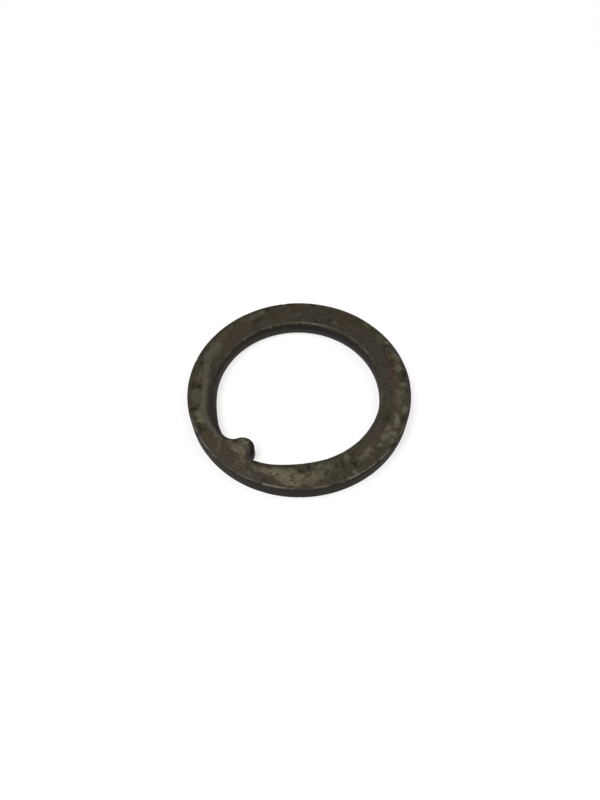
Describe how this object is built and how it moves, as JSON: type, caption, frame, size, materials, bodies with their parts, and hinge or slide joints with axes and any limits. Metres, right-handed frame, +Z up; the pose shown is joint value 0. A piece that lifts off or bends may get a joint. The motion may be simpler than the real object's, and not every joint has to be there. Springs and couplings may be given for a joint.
{
  "type": "thrust washer",
  "caption": "Flat steel thrust washer with a half-round locating nub in its bore, relieved on both sides of the nub.",
  "frame": {"origin": "centre of the outer circle, on the bottom face", "axes": "+Z up through the bore; the locating nub lies on the -Y side"},
  "size_m": [0.06, 0.06, 0.0047],
  "materials": {
    "worn_steel": "oil-darkened and stained plain steel, worn lighter along its edges"
  },
  "bodies": {
    "root": {"thrust_washer": "worn_steel"}
  },
  "joints": []
}
